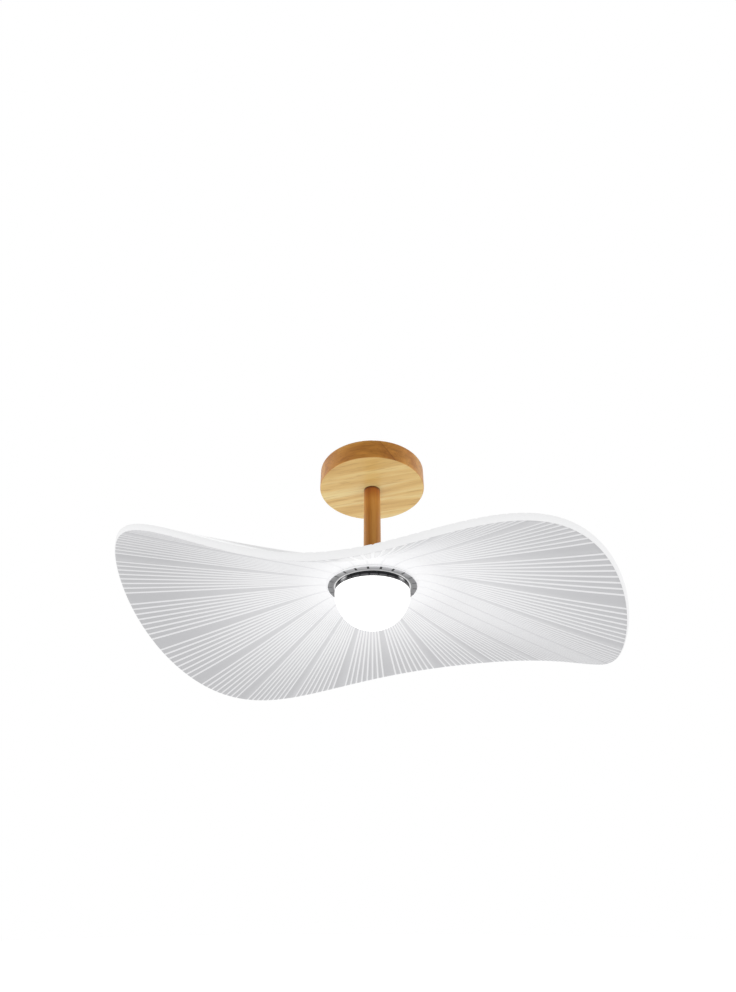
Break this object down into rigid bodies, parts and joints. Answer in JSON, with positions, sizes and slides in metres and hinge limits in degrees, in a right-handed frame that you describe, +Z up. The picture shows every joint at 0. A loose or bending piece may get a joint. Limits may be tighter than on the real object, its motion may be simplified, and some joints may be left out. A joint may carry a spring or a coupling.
{
  "type": "semi-flush ceiling light",
  "caption": "Semi-flush ceiling light: round wooden canopy and stem, wavy clear light-guide disc with engraved radial lines, bright trim ring and opal dome.",
  "frame": {"origin": "on the ceiling plane, on the axis of the stem", "axes": "+Z up into the ceiling, +X to the right of the picture, +Y away from the viewer"},
  "size_m": [0.4882, 0.4846, 0.2439],
  "materials": {
    "canopy_wood": "turned light wood, clear satin lacquer",
    "stem_wood": "turned wood, clear satin lacquer",
    "acrylic": "clear formed acrylic with engraved lines",
    "opal": "opal white diffuser",
    "bright_metal": "polished chrome plate",
    "hub_metal": "fine turned aluminium",
    "zinc_steel": "zinc plated steel",
    "brass": "plain brass",
    "white_plastic": "moulded white plastic",
    "black_plastic": "black sleeve and winding",
    "circuit_board": "solder-masked board",
    "white_board": "white solder-masked metal-core board",
    "led_chip": "phosphor-coated chip",
    "lead_white": "white PVC insulation",
    "lead_brown": "brown PVC insulation",
    "lead_earth": "green and yellow PVC insulation",
    "soft_rubber": "translucent silicone"
  },
  "bodies": {
    "fixture": {"canopy": "canopy_wood", "stem": "stem_wood", "light_guide_disc": "acrylic", "trim_ring": "bright_metal", "hub": "hub_metal", "board_plate": "hub_metal", "mounting_bracket": "zinc_steel", "canopy_screws": "zinc_steel", "threaded_tube": "zinc_steel", "top_washer": "zinc_steel", "top_nut": "zinc_steel", "hub_washer": "zinc_steel", "hub_nut": "zinc_steel", "plate_screws": "zinc_steel", "board_screws": "zinc_steel", "lid_screws": "zinc_steel", "terminal_fixings": "zinc_steel", "terminal_screws": "brass", "earth_screw": "brass", "terminal_block": "white_plastic", "driver_case": "white_plastic", "driver_lid": "white_plastic", "led_connector": "white_plastic", "tube_bushes": "white_plastic", "driver_transformer": "black_plastic", "driver_capacitors": "black_plastic", "driver_board": "circuit_board", "edge_led_strip": "white_board", "down_led_board": "white_board", "edge_leds": "led_chip", "down_leds": "led_chip", "output_leads": "lead_white", "strip_leads": "lead_white", "input_leads": "lead_brown", "earth_lead": "lead_earth", "upper_gasket": "soft_rubber", "lower_gasket": "soft_rubber", "thermal_pad": "soft_rubber", "driver_pad": "soft_rubber"},
    "diffuser": {"diffuser_dome": "opal", "diffuser_seal": "soft_rubber"}
  },
  "joints": [
    {"name": "diffuser_release", "type": "slide", "parent": "fixture", "child": "diffuser", "axis": [0, 0, -1], "range_m": [0, 0.06]}
  ]
}
